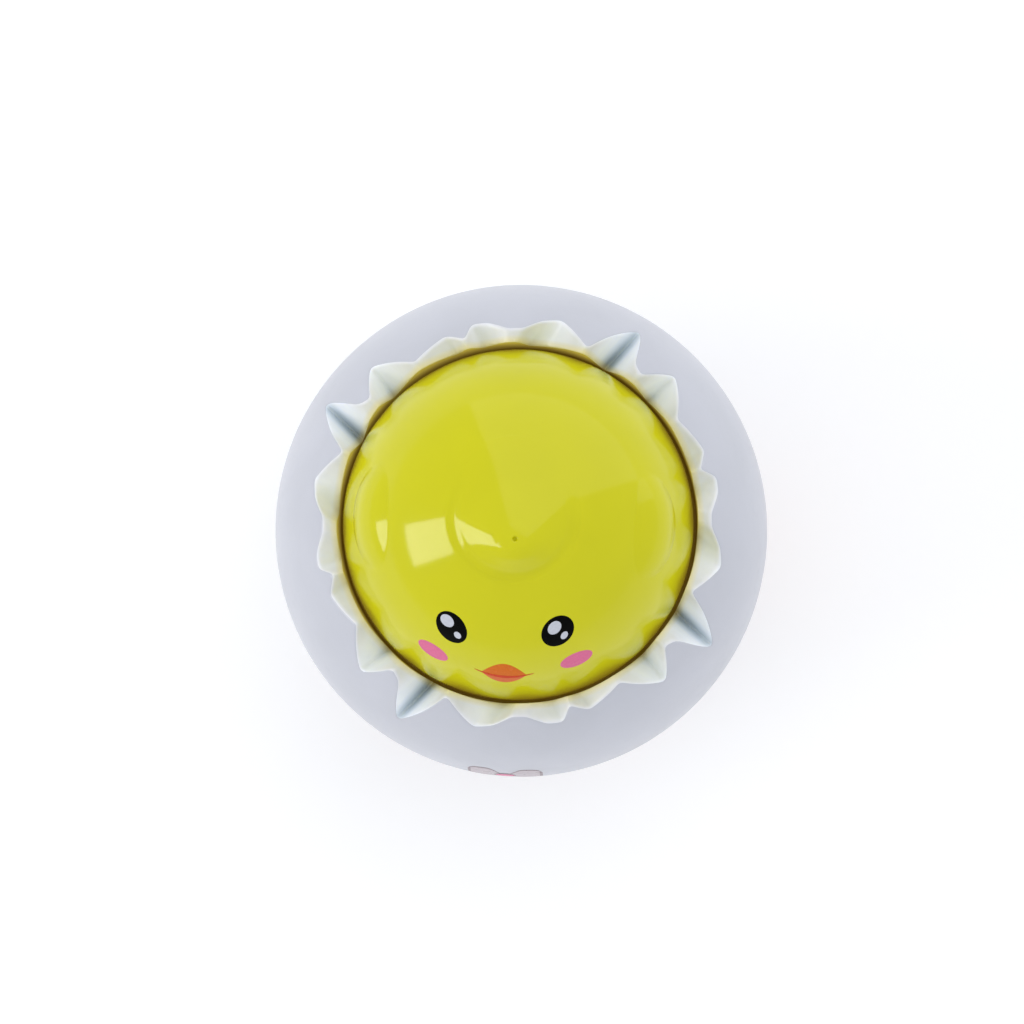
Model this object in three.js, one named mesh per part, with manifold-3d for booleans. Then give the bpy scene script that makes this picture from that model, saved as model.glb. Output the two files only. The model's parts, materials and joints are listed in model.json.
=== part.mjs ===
// A wind-up hopping toy: a chick's head rising out of a cracked eggshell, on two feet that a clockwork motor rocks.
// Millimetres, +Z up, the face towards -Y. The origin is on the floor, midway between the feet, under the egg's axis.
import * as THREE from "three";
import { mergeVertices } from "three/addons/utils/BufferGeometryUtils.js";
import Module from "manifold-3d";

const wasm = await Module();
wasm.setup();

// ---- Driving dimensions ----
// The egg's widest radius, the height of that, and its half heights above and below it.
const EGG = { r: 35, z: 37, up: 38, down: 35.3 };
const FLOOR_Z = 7; // underside of the egg
const SEAM_Z = 28; // joint between the two shells
const LAP = 2; // height of the lip inside that joint
const LIP = { outer: 0.85, inner: 1 }; // where the two shells' halves of that joint stop, in from the skin
const WALL = 1.8;
const WELL_R = 24.9; // hole in the cracked rim that the head stands in
const SHELF = { r: 21.5, top: 49.4, thick: 1.8 }; // ledge under the head
const HEAD = { r: 24.4, z: 49.45, skirt: 4.6, wall: 1.6 }; // half a ball on a straight skirt that starts at z
const HEAD_SCREW = { r: 20.6, lug: 3.2, post: 2.4, postHigh: 7, bore: 0.95, length: 6.5, angles: [90, 210, 330] };

// Clockwork: every axle runs along X, and each centre is [y, z].
const MODULE = 0.6;
const TEETH = { great: 28, pinion: 8, idler: 26 };
const PRESSURE = (28 * Math.PI) / 180;
const ARBOR = [3, 18];
const CRANK = [-7, 24];
const ROCKER = [-7, 14];
const THROW = 1.2; // crank pin's offset
const PLATE = { x: 5, thick: 1 }; // inner face of each side plate
const LEG = { x: 7.7, thick: 2.5, headR: 5.4, windowR: 3.4, bossR: 3, bossX: 6.3, shank: 3 };
const SOLE = 3.2; // thickness of a foot
const KNOB = { r: 5.4, x: 27.3, length: 5.3, hub: 3, ribs: 14, groove: 0.55, pocketR: 6.8, pocketX: 26.6 };
const KNOB_SCREW = { r: 2, x0: 31.45, x1: 32.3, slotX: 31.9, recess: 2.3 };
const BUSH = { r: 2.6, x0: 24.6, flangeR: 3.4, flangeX: 26.65, x1: 27.1 };
const AXLE = { arbor: 1.15, idler: 0.85, crank: 0.8, rocker: 1, click: 0.55 }; // radii
const FIT = 0.08; // radial clearance of an axle in its bore
const SCREW = { shank: 0.9, head: 1.7, headHigh: 0.8, slot: 0.44, hole: 1.05, recess: 1.95 };
const GAP = 0.05; // what touching pieces keep between them
const AXLE_END = 6.3; // how far an axle reaches through the side plates
const CRANK_DISC = { r: 2.9, x0: 6.3, x1: 7.3, pin: 0.8 };
const CLIP = { r: 2, x0: 10.35, x1: 10.85, mouth: 1.2 };

const pitchR = (teeth) => (MODULE * teeth) / 2;
const IDLER = meetingPoint(
  ARBOR,
  pitchR(TEETH.great) + pitchR(TEETH.pinion),
  CRANK,
  pitchR(TEETH.idler) + pitchR(TEETH.pinion),
);

// The cracked edge over a quarter turn, repeated four times. Each row is a corner: its angle and height
// on the egg's outside, then its angle and height on the wall of the well.
const CRACK_START = 70;
const CRACK = [
  [-2, 62.7, -2, 61.9],
  [8, 52.5, 4.5, 50.2],
  [12, 60.8, 10.5, 59.4],
  [16, 61.9, 16, 61.2],
  [22.5, 56.8, 21.7, 52.6],
  [33, 62.3, 33, 61.7],
  [44.5, 60.4, 46.5, 58.4],
  [50, 62.3, 50, 61.7],
  [52.5, 59.6, 54, 57.2],
  [57, 59.8, 58.5, 59],
  [63, 61.5, 62, 60.8],
  [67.5, 61.5, 66, 60.8],
  [73, 59.6, 69.5, 55.5],
  [78, 58.7, 76.5, 57.4],
  [86, 62.1, 85.5, 61.3],
];
const CRACK_STEP = 6.5; // widest step between two sections, in degrees

// ---- Materials ----
const plastic = (color, roughness) => new THREE.MeshStandardMaterial({ color, roughness, metalness: 0 });
const metal = (color, roughness) => new THREE.MeshStandardMaterial({ color, roughness, metalness: 1 });
const SHELL = plastic(0xdfe1ea, 0.38);
const YELLOW = plastic(0xd9d52a, 0.2);
const ORANGE = plastic(0xf08a1d, 0.35);
const NATURAL = plastic(0xf1ede0, 0.5);
const STEEL = metal(0xb9bcc0, 0.35);
const BRASS = metal(0xc9a64f, 0.35);
const SPRING_STEEL = metal(0x5b6470, 0.3);

// ---- Solids ----
function solid(geometry) {
  const bare = new THREE.BufferGeometry().setAttribute(
    "position",
    (geometry.index ? geometry.toNonIndexed() : geometry).getAttribute("position"),
  );
  const merged = mergeVertices(bare, 1e-4);
  const kept = [];
  const index = merged.index.array;
  for (let i = 0; i < index.length; i += 3) {
    const [a, b, c] = index.subarray(i, i + 3);
    if (a !== b && b !== c && c !== a) kept.push(a, b, c);
  }
  return new wasm.Manifold(
    new wasm.Mesh({
      numProp: 3,
      vertProperties: merged.attributes.position.array,
      triVerts: new Uint32Array(kept),
    }),
  );
}

function geometryOf(made) {
  const mesh = made.getMesh();
  return new THREE.BufferGeometry()
    .setAttribute("position", new THREE.BufferAttribute(mesh.vertProperties, 3))
    .setIndex(new THREE.BufferAttribute(mesh.triVerts, 1));
}

const join = (first, ...rest) => rest.reduce((all, piece) => all.add(piece), first);
const cut = (first, ...tools) => tools.reduce((left, tool) => left.subtract(tool), first);

const toX = new THREE.Matrix4().makeBasis(
  new THREE.Vector3(0, 1, 0),
  new THREE.Vector3(0, 0, 1),
  new THREE.Vector3(1, 0, 0),
); // a shape's x, y and depth become Y, Z and X

// A profile of [radius, height] points turned about +Z.
function turned(profile, segments) {
  const area = profile.reduce((sum, [r, z], i) => {
    const [nr, nz] = profile[(i + 1) % profile.length];
    return sum + r * nz - nr * z;
  }, 0);
  const ordered = area > 0 ? profile : [...profile].reverse();
  const onAxis = ordered.some(([r]) => r === 0);
  let points = ordered;
  if (onAxis) {
    const turn = ordered.findIndex(([r], i) => r === 0 && ordered.at(i - 1)[0] === 0);
    points = [...ordered.slice(turn), ...ordered.slice(0, turn)];
  } else {
    points = [...ordered, ordered[0]];
  }
  const lathe = new THREE.LatheGeometry(
    points.map(([r, z]) => new THREE.Vector2(r, z)),
    segments,
  );
  return solid(lathe.rotateX(Math.PI / 2));
}

// A turned solid whose axis runs along +X through [y, z].
const turnedX = (profile, segments, [y, z]) =>
  turned(profile, segments).transform(toX.elements.slice()).translate([0, y, z]);

// A round bar: along Z from z0 to z1, or along X from x0 to x1.
const bar = (r, z0, z1, x, y, segments = 16) =>
  turned([[0, z0], [r, z0], [r, z1], [0, z1]], segments).translate([x, y, 0]);
const barX = (r, x0, x1, at, segments = 16) => turnedX([[0, x0], [r, x0], [r, x1], [0, x1]], segments, at);

// A flat outline in XY given its thickness from z0 to z1, and the same in YZ from x0 to x1.
function slab(shape, z0, z1, curveSegments = 12) {
  const options = { depth: z1 - z0, bevelEnabled: false, curveSegments };
  return solid(new THREE.ExtrudeGeometry(shape, options).translate(0, 0, z0));
}
const slabX = (shape, x0, x1, curveSegments) => slab(shape, x0, x1, curveSegments).transform(toX.elements.slice());
const block = (x0, x1, y0, y1, z0, z1) =>
  solid(new THREE.BoxGeometry(x1 - x0, y1 - y0, z1 - z0).translate((x0 + x1) / 2, (y0 + y1) / 2, (z0 + z1) / 2));
const span = (side, a, b) => [side * a, side * b].sort((p, q) => p - q); // from a to b out to one side
function outline(points) {
  const corners = points.map(([x, y]) => new THREE.Vector2(x, y));
  return new THREE.Shape(THREE.ShapeUtils.isClockWise(corners) ? corners.reverse() : corners);
}
const disc = (r, [x, y]) => new THREE.Shape().absarc(x, y, r, 0, 2 * Math.PI);
const hole = (shape, r, [x, y]) => shape.holes.push(new THREE.Path().absarc(x, y, r, 0, 2 * Math.PI, true));

// Closed sections, each a list of [x, y, z], joined one to the next and back to the first.
function ringOf(sections) {
  const count = sections[0].length;
  const index = [];
  sections.forEach((_, i) => {
    const next = ((i + 1) % sections.length) * count;
    for (let j = 0; j < count; j++) {
      const k = (j + 1) % count;
      index.push(i * count + j, next + j, next + k, i * count + j, next + k, i * count + k);
    }
  });
  const positions = new THREE.BufferAttribute(new Float32Array(sections.flat(2)), 3);
  return solid(new THREE.BufferGeometry().setAttribute("position", positions).setIndex(index));
}

// A level ring of points, anticlockwise from above.
const polarRing = (r, [x, y], z, sides) =>
  Array.from({ length: sides }, (_, i) => {
    const a = (2 * Math.PI * i) / sides;
    return [x + r * Math.cos(a), y + r * Math.sin(a), z];
  });

// Rings of points stacked upwards, closed by a flat face at each end.
function stackOf(rings) {
  const sides = rings[0].length;
  const top = (rings.length - 1) * sides;
  const index = [];
  for (let i = 0; i < sides; i++) {
    const next = (i + 1) % sides;
    for (let level = 0; level < top; level += sides) {
      index.push(level + i, level + next, level + sides + next, level + i, level + sides + next, level + sides + i);
    }
    if (i > 0 && i < sides - 1) index.push(0, i + 1, i, top, top + i, top + i + 1);
  }
  const positions = new THREE.BufferAttribute(new Float32Array(rings.flat(2)), 3);
  return solid(new THREE.BufferGeometry().setAttribute("position", positions).setIndex(index));
}

// The upper of the two points that lie ar from a and br from b.
function meetingPoint([ay, az], ar, [by, bz], br) {
  const apart = Math.hypot(by - ay, bz - az);
  const [uy, uz] = [(by - ay) / apart, (bz - az) / apart];
  const along = (ar * ar - br * br + apart * apart) / (2 * apart);
  const aside = Math.sqrt(ar * ar - along * along) * Math.sign(uy);
  return [ay + uy * along - uz * aside, az + uz * along + uy * aside];
}

// ---- The egg ----
const eggR = (z) => {
  const t = (z - EGG.z) / (z > EGG.z ? EGG.up : EGG.down);
  return EGG.r * Math.sqrt(1 - t * t);
};
const polar = (r, degrees, z) => {
  const a = THREE.MathUtils.degToRad(degrees);
  return [r * Math.cos(a), r * Math.sin(a), z];
};

const headScrewPlaces = HEAD_SCREW.angles.map((a) => polar(HEAD_SCREW.r, a, 0));

// The corners of the crack, with steps between them, as one full turn.
function crackRows() {
  const rows = [];
  for (let quarter = 0; quarter < 4; quarter++) {
    CRACK.forEach((row, i) => {
      const last = i === CRACK.length - 1;
      const next = last ? CRACK[0].map((v, k) => (k % 2 ? v : v + 90)) : CRACK[i + 1];
      const steps = Math.ceil((next[0] - row[0]) / CRACK_STEP);
      for (let s = 0; s < steps; s++) {
        const [outerTurn, outerZ, innerTurn, innerZ] = row.map((v, k) => v + ((next[k] - v) * s) / steps);
        const start = CRACK_START - 90 * quarter;
        rows.push({ outer: start - outerTurn, outerZ, inner: start - innerTurn, innerZ });
      }
    });
  }
  return rows.reverse(); // anticlockwise from above
}

function upperShell() {
  const seamR = eggR(SEAM_Z);
  const under = SHELF.top - SHELF.thick;
  const lipZ = SEAM_Z + LAP + 0.2;
  const [shoulder, collar] = [42, 47]; // heights between the widest point and the crack
  const sections = crackRows().map(({ outer, outerZ, inner, innerZ }) => {
    const heights = [SEAM_Z, (SEAM_Z + EGG.z) / 2, EGG.z, shoulder, collar, (collar + outerZ) / 2, outerZ];
    return [
      ...heights.map((z) => polar(eggR(z), outer, z)),
      polar(WELL_R, inner, innerZ),
      polar(WELL_R, inner, SHELF.top),
      polar(SHELF.r, inner, SHELF.top),
      polar(SHELF.r, inner, under),
      polar(eggR(under) - WALL, outer, under),
      polar(eggR(shoulder) - WALL, outer, shoulder),
      polar(EGG.r - WALL, outer, EGG.z),
      polar(eggR(lipZ) - WALL, outer, lipZ),
      polar(seamR - LIP.outer, outer, lipZ),
      polar(seamR - LIP.outer, outer, SEAM_Z),
    ];
  });
  const lugs = headScrewPlaces.map(([x, y]) => bar(HEAD_SCREW.lug, under, SHELF.top, x, y));
  const holes = headScrewPlaces.map(([x, y]) => bar(SCREW.hole, under - 1, SHELF.top + 1, x, y, 12));
  return cut(join(ringOf(sections), ...lugs), ...holes);
}

function lowerShell() {
  const seamR = eggR(SEAM_Z);
  const outside = [SEAM_Z, 24, 20, 16, 12.5, 9.5, FLOOR_Z];
  const inside = [12.5, 16, 20, 24, SEAM_Z];
  const floorTop = FLOOR_Z + WALL;
  const bowl = turned(
    [
      [0, FLOOR_Z],
      ...outside.reverse().map((z) => [eggR(z), z]),
      [seamR - LIP.inner, SEAM_Z],
      [seamR - LIP.inner, SEAM_Z + LAP],
      [seamR - WALL, SEAM_Z + LAP],
      ...inside.reverse().map((z) => [eggR(z) - WALL, z]),
      [eggR(floorTop) - 2.6, floorTop],
      [0, floorTop],
    ],
    40,
  );
  // A round pocket under the bulge holds the winding knob.
  const inEgg = turned([[0, FLOOR_Z], ...outside.map((z) => [eggR(z), z]), [0, SEAM_Z]], 40);
  const cup = barX(KNOB.pocketR + 1.2, KNOB.pocketX - 1.4, EGG.r, ARBOR, 32).intersect(inEgg);
  const slots = [-1, 1].map((side) => {
    const [x0, x1] = span(side, LEG.x - 0.5, LEG.x + LEG.thick + 0.5);
    const half = LEG.shank + 1.1;
    return block(x0, x1, ROCKER[0] - half, ROCKER[0] + half, 0, floorTop + 1);
  });
  const screws = MOTOR_SCREWS.flatMap(([x, y]) => [
    bar(SCREW.hole, 0, floorTop + 1, x, y, 12),
    bar(SCREW.recess, 0, FLOOR_Z + SCREW.headHigh + 0.1, x, y, 12),
  ]);
  return cut(
    join(bowl, cup),
    barX(KNOB.pocketR, KNOB.pocketX, EGG.r + 5, ARBOR, 32),
    barX(BUSH.r + 0.15, BUSH.x0 - 4, EGG.r, ARBOR),
    ...slots,
    ...screws,
  );
}

// ---- The chick's head ----
// The tuft is a low cone with a flat top, which leans forward. Its base lies where the dome has that radius.
const TUFT = { r: 7.9, topR: 2.2, base: 27.5, high: 3.3, lean: [0.45, -3.2], sunk: 1.2 };
// Each wing is an oval bulge on the dome's side, turn degrees down from the top.
const WING = { turn: 54, sunk: 0.6, size: [1.45, 6.8, 4.6], back: -0.3 };

// Half a ball on a straight skirt, whose skirt starts at foot.
function dome(r, foot, segments) {
  const steps = 10;
  const centre = HEAD.z + HEAD.skirt;
  const profile = [[0, foot], [r, foot]];
  for (let i = 0; i <= steps; i++) {
    const a = (Math.PI / 2) * (i / steps);
    profile.push([i === steps ? 0 : r * Math.cos(a), centre + r * Math.sin(a)]);
  }
  return turned(profile, segments);
}

function tuft() {
  const sides = 28;
  const { r, topR, base, high, lean, sunk } = TUFT;
  const foot = polarRing(r, [0, 0], HEAD.z + base - sunk, sides);
  const rings = [0, 0.5, 0.9].map((t) => {
    const middle = lean.map((v) => v * t);
    return polarRing(r + (topR - r) * t, middle, HEAD.z + base + high * t, sides);
  });
  const top = polarRing(topR * 0.75, lean, HEAD.z + base + high, sides);
  return stackOf([foot, ...rings, top]);
}

function wing(side) {
  const turn = THREE.MathUtils.degToRad(WING.turn);
  const out = HEAD.r - WING.sunk;
  return solid(new THREE.SphereGeometry(1, 18, 10))
    .scale(WING.size)
    .rotate([0, side * (WING.turn - 90), 0])
    .translate([side * out * Math.sin(turn), WING.back, HEAD.z + HEAD.skirt + out * Math.cos(turn)]);
}

function headShell() {
  const outer = dome(HEAD.r, HEAD.z, 44);
  const inner = dome(HEAD.r - HEAD.wall, HEAD.z - 1, 28);
  const posts = headScrewPlaces.map(([x, y]) =>
    bar(HEAD_SCREW.post, HEAD.z, HEAD.z + HEAD_SCREW.postHigh, x, y, 12).intersect(outer),
  );
  const bores = headScrewPlaces.map(([x, y]) =>
    bar(HEAD_SCREW.bore, HEAD.z - 1, HEAD.z + HEAD_SCREW.postHigh - 1, x, y, 12),
  );
  return cut(join(cut(join(outer, tuft(), wing(-1), wing(1)), inner), ...posts), ...bores);
}

// ---- Gears ----
const TOOTH = { addendum: 0.46, dedendum: 0.66, backlash: 0.12 };
// Where each wheel starts and ends along its axle.
const ALONG = {
  great: [-1.7, -0.1],
  idlerPinion: [-2.25, 0.1],
  idlerWheel: [-3.8, -2.3],
  crankPinion: [-4, -2.1],
  ratchet: [0.3, 1.3],
  click: [0.45, 1.15],
};
const involute = (angle) => Math.tan(angle) - angle;

// An involute gear's outline with a tooth centred on the direction phase, in the YZ plane.
function gearShape(teeth, phase, centre) {
  const pitch = pitchR(teeth);
  const base = pitch * Math.cos(PRESSURE);
  const [root, tip] = [pitch - TOOTH.dedendum, pitch + TOOTH.addendum];
  const halfTooth = Math.PI / (2 * teeth) - TOOTH.backlash / 2 / pitch;
  const flank = [Math.max(root, base), (Math.max(root, base) + tip) / 2, tip].map((r) => {
    const here = Math.acos(Math.min(1, base / r));
    return [r, halfTooth + involute(PRESSURE) - involute(here)];
  });
  if (root < base) flank.unshift([root, flank[0][1]]);
  const points = [];
  for (let i = 0; i < teeth; i++) {
    const middle = phase + (2 * Math.PI * i) / teeth;
    const left = flank.map(([r, a]) => [r, middle - a]);
    const right = [...flank].reverse().map(([r, a]) => [r, middle + a]);
    [...left, ...right].forEach(([r, a]) => points.push([centre[0] + r * Math.cos(a), centre[1] + r * Math.sin(a)]));
  }
  return outline(points);
}
const direction = ([ay, az], [by, bz]) => Math.atan2(bz - az, by - ay);

function greatWheel() {
  const shape = gearShape(TEETH.great, direction(ARBOR, IDLER), ARBOR);
  hole(shape, AXLE.arbor + FIT, ARBOR);
  for (let i = -1; i < 2; i++) {
    hole(shape, 1.5, around(5, CLICK.pivotTurn + Math.PI + i * 1.2)); // lightening holes
  }
  return slabX(shape, ...ALONG.great, 6);
}
function pinion(centre, meets, along, bore) {
  const phase = direction(centre, meets) + Math.PI / TEETH.pinion;
  const shape = gearShape(TEETH.pinion, phase, centre);
  hole(shape, bore, centre);
  return slabX(shape, ...along, 6);
}
function idlerWheel() {
  const shape = gearShape(TEETH.idler, direction(IDLER, CRANK), IDLER);
  hole(shape, AXLE.idler + FIT, IDLER);
  for (let i = 0; i < 4; i++) {
    const a = (i * Math.PI) / 2;
    hole(shape, 1.4, [IDLER[0] + 4.6 * Math.cos(a), IDLER[1] + 4.6 * Math.sin(a)]);
  }
  return slabX(shape, ...ALONG.idlerWheel, 6);
}

// ---- Ratchet, click and mainspring ----
// Turns about the arbor are measured clockwise from -Y, seen from the knob, which is the way it winds.
const RATCHET = { teeth: 12, tip: 3.3, root: 2.6 };
const CLICK = { pivotR: 6, pivotTurn: 0.35, tipTurn: 1.43 };
function around(r, turn) {
  return [ARBOR[0] - r * Math.cos(turn), ARBOR[1] + r * Math.sin(turn)];
}
const clickPivot = around(CLICK.pivotR, CLICK.pivotTurn);

function ratchetWheel() {
  const step = (2 * Math.PI) / RATCHET.teeth;
  const points = [];
  for (let i = 0; i < RATCHET.teeth; i++) {
    const face = CLICK.tipTurn + i * step; // the steep side, which the click pushes on
    points.push(around(RATCHET.root, face + 0.02), around(RATCHET.tip, face + 0.04));
  }
  const shape = outline(points);
  hole(shape, AXLE.arbor + FIT, ARBOR);
  return slabX(shape, ...ALONG.ratchet, 6);
}

function click() {
  const nose = [around(RATCHET.tip - 0.2, CLICK.tipTurn - 0.05), around(RATCHET.tip + 0.45, CLICK.tipTurn - 0.02)];
  const back = [around(4.9, CLICK.tipTurn - 0.3), around(7.1, CLICK.pivotTurn + 0.16)];
  const front = [
    around(4.9, CLICK.pivotTurn + 0.02),
    around(3.9, CLICK.tipTurn - 0.4),
    around(3.62, CLICK.tipTurn - 0.13),
  ];
  const arm = slabX(outline([...nose, ...back, ...front]), ...ALONG.click);
  const eye = barX(1.25, ...ALONG.click, clickPivot);
  return cut(join(arm, eye), barX(AXLE.click + FIT, 0, 2, clickPivot, 12));
}

// A leaf that presses on the click's back, riveted to the great wheel beyond its tip.
function clickSpring() {
  const under = [around(5.15, CLICK.tipTurn - 0.22), around(5.5, CLICK.tipTurn), around(7.1, CLICK.tipTurn + 0.45)];
  const over = [
    around(7.4, CLICK.tipTurn + 0.4),
    around(5.75, CLICK.tipTurn - 0.02),
    around(5.4, CLICK.tipTurn - 0.24),
  ];
  const leaf = slabX(outline([...under, ...over]), 0.4, 1.2);
  return join(leaf, barX(0.7, ALONG.great[1] + GAP, 1.2, around(7.1, CLICK.tipTurn + 0.5), 12));
}

// A flat strip coiled round the arbor, its outer end bent round a pillar.
const SPRING = { inner: 2.2, outer: 7, turns: 5, thick: 0.3, perTurn: 18, x0: 1.7, x1: 4.5 };
function mainspring() {
  const target = PILLARS.rear_lower;
  const end = direction(ARBOR, target) - 0.9;
  const count = SPRING.turns * SPRING.perTurn;
  const side = (offset) =>
    Array.from({ length: count + 1 }, (_, i) => {
      const r = SPRING.inner + ((SPRING.outer - SPRING.inner) * i) / count + offset;
      const turn = end - 2 * Math.PI * SPRING.turns * (1 - i / count);
      return [ARBOR[0] + r * Math.cos(turn), ARBOR[1] + r * Math.sin(turn)];
    });
  const hook = (r) => [-2.4, -1.2, 0, 1.2].map((a) => {
    const turn = end + 1.2 + a;
    return [target[0] + r * Math.cos(turn), target[1] + r * Math.sin(turn)];
  });
  const shape = outline([...side(0), ...hook(1.65), ...hook(1.95).reverse(), ...side(SPRING.thick).reverse()]);
  return slabX(shape, SPRING.x0, SPRING.x1);
}

// ---- Frame ----
const PILLARS = {
  front_lower: [-10.5, 11.2],
  rear_lower: [11.6, 11.2],
  front_upper: [-9.5, 31],
  rear_upper: [12.3, 27],
};
const MOTOR_SCREWS = [[-8.2, -13], [8.2, -13], [-8.2, 11.3], [8.2, 11.3]];

function sidePlate(side) {
  const shape = outline([
    [-12.6, 9],
    [13.6, 9],
    [14.4, 11],
    [14.4, 28.5],
    [8, 38.3],
    [-3.5, 38.3],
    [-11.6, 33],
    [-12.6, 30],
  ]);
  const bores = [[ARBOR, AXLE.arbor], [IDLER, AXLE.idler], [CRANK, AXLE.crank], [ROCKER, AXLE.rocker]];
  bores.forEach(([at, r]) => hole(shape, r + FIT, at));
  Object.values(PILLARS).forEach((at) => hole(shape, 0.85, at));
  hole(shape, 2.2, [3.5, 34.6]); // lightening hole
  const [x0, x1] = span(side, PLATE.x, PLATE.x + PLATE.thick);
  const sheet = slabX(shape, x0, x1, 6);
  const floorTop = FLOOR_Z + WALL + GAP;
  const feet = MOTOR_SCREWS.filter(([x]) => x * side > 0).map(([x, y]) => {
    return block(...span(side, PLATE.x + 0.2, side * x + 2), y - 1.9, y + 1.9, floorTop, floorTop + 0.9);
  });
  const rear = block(x0, x1, 9, 13.4, floorTop, 10);
  const front = block(x0, x1, -14.9, -11, floorTop, 10.2);
  const bored = MOTOR_SCREWS.map(([x, y]) => bar(SCREW.hole, 5, 12, x, y, 12));
  return cut(join(sheet, ...feet, rear, front), ...bored);
}

// A pillar stands between the side plates, and a thinner spigot at each end goes through its plate.
function pillar(at) {
  const [r, spigot, shoulder, end] = [1.3, 0.75, PLATE.x - GAP, PLATE.x + PLATE.thick + 0.1];
  const half = [[spigot, end], [spigot, shoulder], [r, shoulder]];
  const otherHalf = half.map(([radius, x]) => [radius, -x]).reverse();
  return turnedX([[0, end], ...half, ...otherHalf, [0, -end]], 12, at);
}

// ---- Winding parts ----
function windingArbor() {
  return turnedX(
    [
      [0, -AXLE_END],
      [AXLE.arbor, -AXLE_END],
      [AXLE.arbor, SPRING.x0 - 0.1],
      [SPRING.inner - 0.1, SPRING.x0 - 0.1],
      [SPRING.inner - 0.1, SPRING.x1 + 0.1],
      [AXLE.arbor, SPRING.x1 + 0.1],
      [AXLE.arbor, KNOB.x + 4.1],
      [0, KNOB.x + 4.1],
    ],
    16,
    ARBOR,
  );
}
function windingKnob() {
  const corners = KNOB.ribs * 4; // two on each rib and two in each groove
  const points = Array.from({ length: corners }, (_, i) => {
    const r = KNOB.r - (i % 4 < 2 ? 0 : KNOB.groove);
    const a = (2 * Math.PI * i) / corners;
    return [ARBOR[0] + r * Math.cos(a), ARBOR[1] + r * Math.sin(a)];
  });
  const [x0, x1] = [KNOB.x, KNOB.x + KNOB.length];
  const dial = slabX(outline(points), x0 + 0.9, x1);
  const hub = barX(KNOB.hub, x0, x0 + 1, ARBOR, 20);
  const bore = barX(AXLE.arbor + FIT, x0 - 1, x1 + 1, ARBOR);
  return cut(join(dial, hub), bore, barX(KNOB_SCREW.recess, x1 - 1.2, x1 + 1, ARBOR, 20));
}

function knobScrew() {
  const { r, x0, x1, slotX } = KNOB_SCREW;
  const half = SCREW.slot / 2;
  const slot = block(slotX, x1 + 1, ARBOR[0] - r, ARBOR[0] + r, ARBOR[1] - half, ARBOR[1] + half);
  return cut(barX(r, x0, x1, ARBOR), slot);
}

function arborBush() {
  const bore = AXLE.arbor + FIT;
  const { r, x0, flangeR, flangeX, x1 } = BUSH;
  return turnedX([[bore, x0], [r, x0], [r, flangeX], [flangeR, flangeX], [flangeR, x1], [bore, x1]], 20, ARBOR);
}

// A screw whose head is below, its shank standing up from z.
function screw(x, y, headZ, length) {
  const { shank, head, headHigh } = SCREW;
  const profile = [[0, 0], [head, 0], [head, headHigh], [shank, headHigh], [shank, length], [0, length]];
  const body = turned(profile, 12).translate([x, y, headZ]);
  const half = SCREW.slot / 2;
  const slot = block(x - 2, x + 2, y - half, y + half, headZ - 1, headZ + 0.35);
  return cut(body, slot);
}

// ---- Crank ----
function crankDisc(side) {
  const { r, x0, x1, pin } = CRANK_DISC;
  const pinAt = [CRANK[0], CRANK[1] + THROW];
  const wheel = cut(barX(r, ...span(side, x0, x1), CRANK, 20), barX(AXLE.crank + FIT, -20, 20, CRANK, 12));
  return join(wheel, barX(pin, ...span(side, x1 - 0.35, LEG.x + LEG.thick + 0.3), pinAt, 12));
}

// ---- Legs ----
// One foot seen from above, for the +X side: a rounded heel and three round-ended toes.
function footShape(side) {
  const shape = new THREE.Shape();
  const toe = (x, y, r, turn) => shape.absarc(side * x, y, r, ...sweep(turn));
  const sweep = ([from, to]) => (side > 0 ? [from, to, false] : [Math.PI - from, Math.PI - to, true]);
  const rad = THREE.MathUtils.degToRad;
  shape.moveTo(side * 4.6, 8);
  shape.quadraticCurveTo(side * 3, 0, side * 4.2, -11);
  toe(4.4, -21, 2.9, [rad(170), rad(345)]);
  shape.lineTo(side * 7.6, -16.5);
  toe(10, -24.4, 3, [rad(200), rad(340)]);
  shape.lineTo(side * 12.3, -16.5);
  toe(15.4, -20.6, 2.9, [rad(205), rad(375)]);
  shape.quadraticCurveTo(side * 15, -6, side * 13.6, 6);
  shape.quadraticCurveTo(side * 13.4, 12.6, side * 9.2, 12.8);
  shape.quadraticCurveTo(side * 5, 12.8, side * 4.6, 8);
  return shape;
}

function leg(side) {
  const [x0, x1] = span(side, LEG.x, LEG.x + LEG.thick);
  const head = barX(LEG.headR, x0, x1, CRANK, 28);
  const boss = barX(LEG.bossR, ...span(side, LEG.bossX, LEG.x + LEG.thick), ROCKER, 20);
  const arm = slabX(outline([[-9.6, 3], [-4.4, 3], [-4, 13], [-4.2, 21], [-9.8, 21], [-10, 13]]), x0, x1);
  const foot = slab(footShape(side), 0, SOLE, 5);
  const ankle = turned([[0, 2.6], [4.4, 2.6], [3.4, 4.6], [0, 4.6]], 20).translate([side * 9, -7, 0]);
  return cut(
    join(foot, ankle, arm, head, boss),
    barX(LEG.windowR, x0 - 1, x1 + 1, CRANK, 28),
    barX(AXLE.rocker + FIT, -20, 20, ROCKER, 12),
  );
}

function clip(side) {
  const [x0, x1] = span(side, CLIP.x0, CLIP.x1);
  const half = CLIP.mouth / 2;
  const mouth = block(x0 - 1, x1 + 1, ROCKER[0] - half, ROCKER[0] + half, ROCKER[1], ROCKER[1] + 3);
  return cut(barX(CLIP.r, x0, x1, ROCKER), barX(AXLE.rocker + FIT, -20, 20, ROCKER, 12), mouth);
}

// ---- Assembly ----
const toy = new THREE.Group();
function add(name, made, material) {
  const mesh = new THREE.Mesh(geometryOf(made), material);
  mesh.name = name;
  toy.add(mesh);
}

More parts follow.
